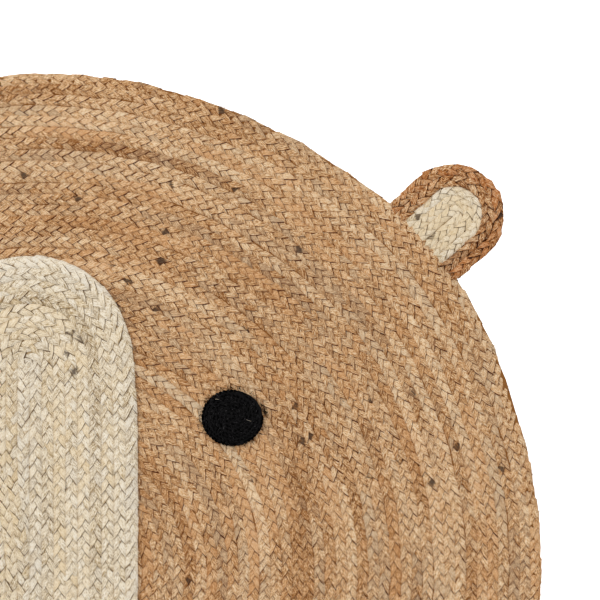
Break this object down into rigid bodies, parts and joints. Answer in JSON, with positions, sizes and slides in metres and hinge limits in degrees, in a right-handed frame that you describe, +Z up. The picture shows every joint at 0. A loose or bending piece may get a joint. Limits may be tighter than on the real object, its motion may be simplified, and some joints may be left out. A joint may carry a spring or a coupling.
{
  "type": "round jute rug",
  "caption": "Round flat rug of coiled jute plait with an animal face: a cream oval muzzle, black yarn eyes and small round ears at the rim.",
  "frame": {"origin": "on the floor under the middle of the round", "axes": "+Z up out of the rug's face, +Y towards the top of the animal's face, +X to its right as seen from above"},
  "size_m": [1, 1, 0.0158],
  "materials": {
    "natural_jute": "dry plaited jute, golden tan with straw, orange and grey strands",
    "bleached_jute": "dry plaited jute bleached to cream",
    "brown_jute": "dry plaited jute, orange-brown with darker strands",
    "black_yarn": "matte twisted yarn, black"
  },
  "bodies": {
    "root": {"rug_body": "natural_jute", "muzzle_patch": "bleached_jute", "eye_left": "black_yarn", "eye_right": "black_yarn", "ear_border_left": "brown_jute", "ear_border_right": "brown_jute", "ear_inner_left": "bleached_jute", "ear_inner_right": "bleached_jute"}
  },
  "joints": []
}
